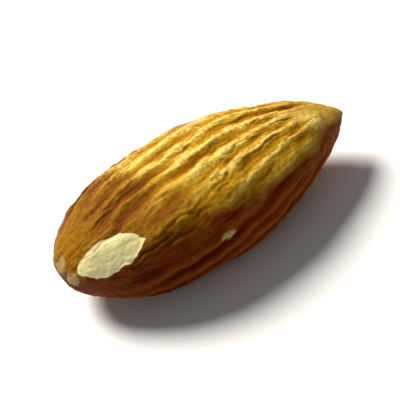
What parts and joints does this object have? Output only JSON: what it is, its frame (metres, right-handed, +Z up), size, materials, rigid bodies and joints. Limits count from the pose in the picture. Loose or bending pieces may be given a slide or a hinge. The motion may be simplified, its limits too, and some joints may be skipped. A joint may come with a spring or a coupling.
{
  "type": "almond",
  "caption": "Shelled almond kernel in its ribbed brown skin, round at one end and pointed at the other, lying on its flatter face, with a pale chip beside the round end",
  "frame": {"origin": "on the surface that the kernel rests on, under the middle of its bounding box", "axes": "+X runs from the round end to the point, +Y from the fuller back edge to the straighter seam edge, +Z up out of the upper broad face"},
  "size_m": [0.0268, 0.0132, 0.0084],
  "materials": {
    "skin": "dry, finely ribbed brown seed skin with golden crests, darker grooves and a darker round end, and bare cream flesh in the chip and at the rubbed round end"
  },
  "bodies": {
    "root": {"almond_kernel": "skin"}
  },
  "joints": []
}
